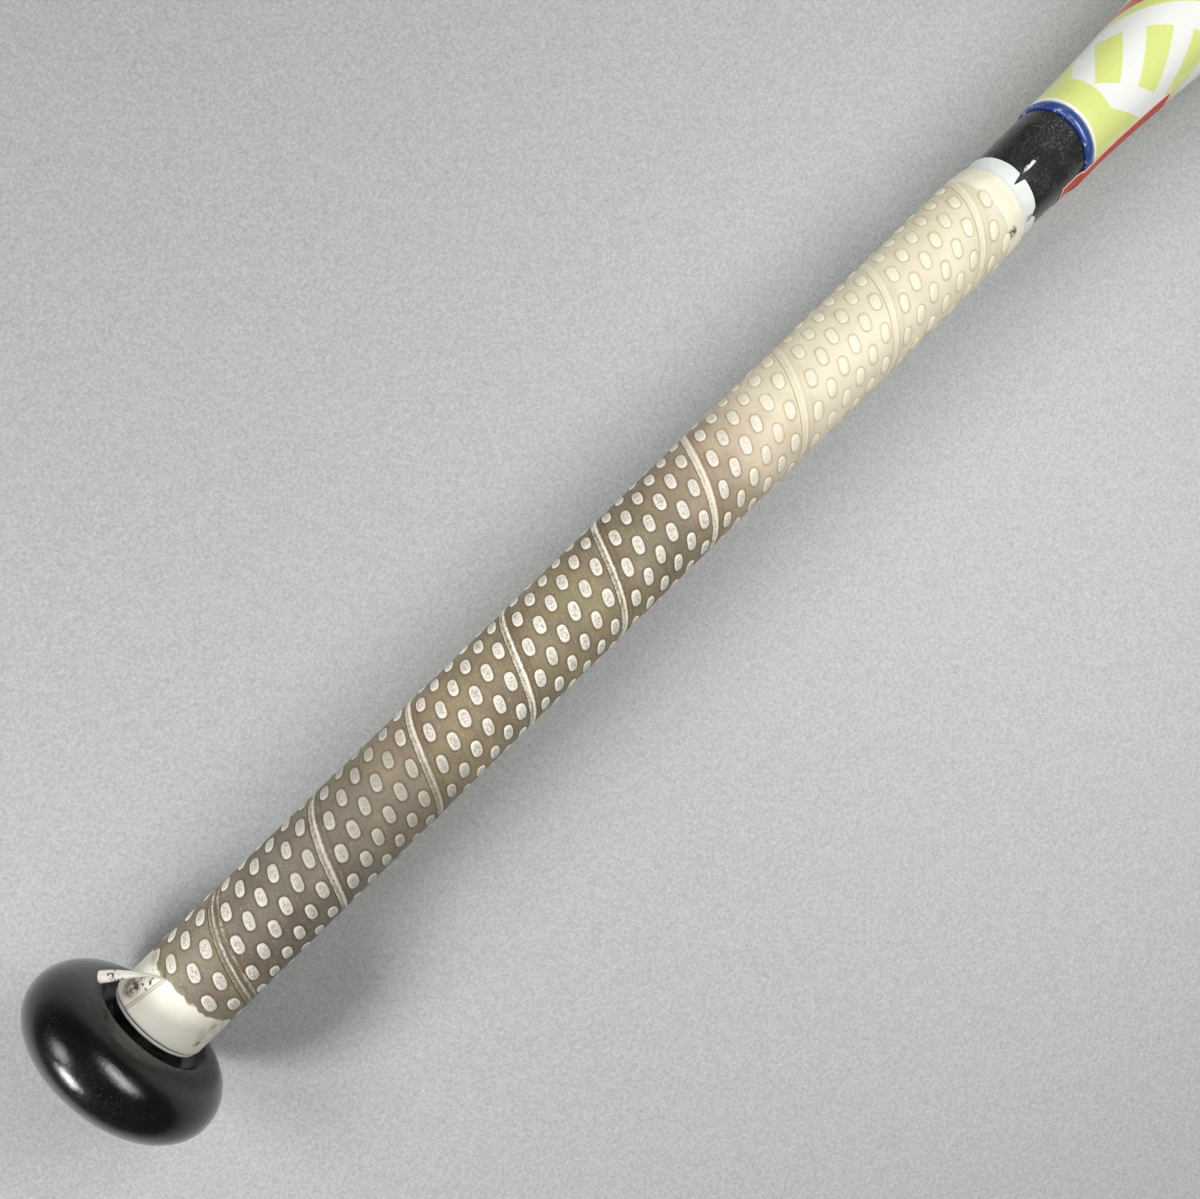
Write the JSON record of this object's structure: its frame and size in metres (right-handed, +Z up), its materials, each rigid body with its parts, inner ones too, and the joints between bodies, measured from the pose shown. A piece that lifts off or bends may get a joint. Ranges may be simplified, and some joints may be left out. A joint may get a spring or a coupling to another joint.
{
  "type": "softball bat",
  "caption": "Slowpitch softball bat with a composite handle in a spiral-wound grip, a rounded knob, and a hollow tapered barrel closed by an end cap.",
  "frame": {"origin": "centre of the knob's flat base, on the bat's axis", "axes": "+X along the bat's axis from the knob to the barrel's end, +Z up with the bat lying down"},
  "size_m": [0.8636, 0.0572, 0.0572],
  "materials": {
    "knob_composite": "gloss black, finely speckled and scuffed",
    "plug_rubber": "matt moulded rubber",
    "handle_composite": "clear-lacquered black composite",
    "underwrap_tape": "bluish white tape",
    "grip_strip": "synthetic leather with raised ovals, soiled towards the knob",
    "finish_tape": "cream tape, satin",
    "collar_urethane": "glossy blue urethane",
    "bushing_elastomer": "cast elastomer",
    "barrel_paint": "lime, white and red gloss paint under clear lacquer",
    "cap_urethane": "satin black moulded urethane"
  },
  "bodies": {
    "root": {"knob": "knob_composite", "knob_plug": "plug_rubber", "handle_tube": "handle_composite", "grip_underwrap": "underwrap_tape", "grip_wrap": "grip_strip", "grip_finish_tape": "finish_tape", "joint_collar": "collar_urethane", "joint_bushing": "bushing_elastomer", "barrel_shell": "barrel_paint", "end_cap": "cap_urethane"}
  },
  "joints": []
}
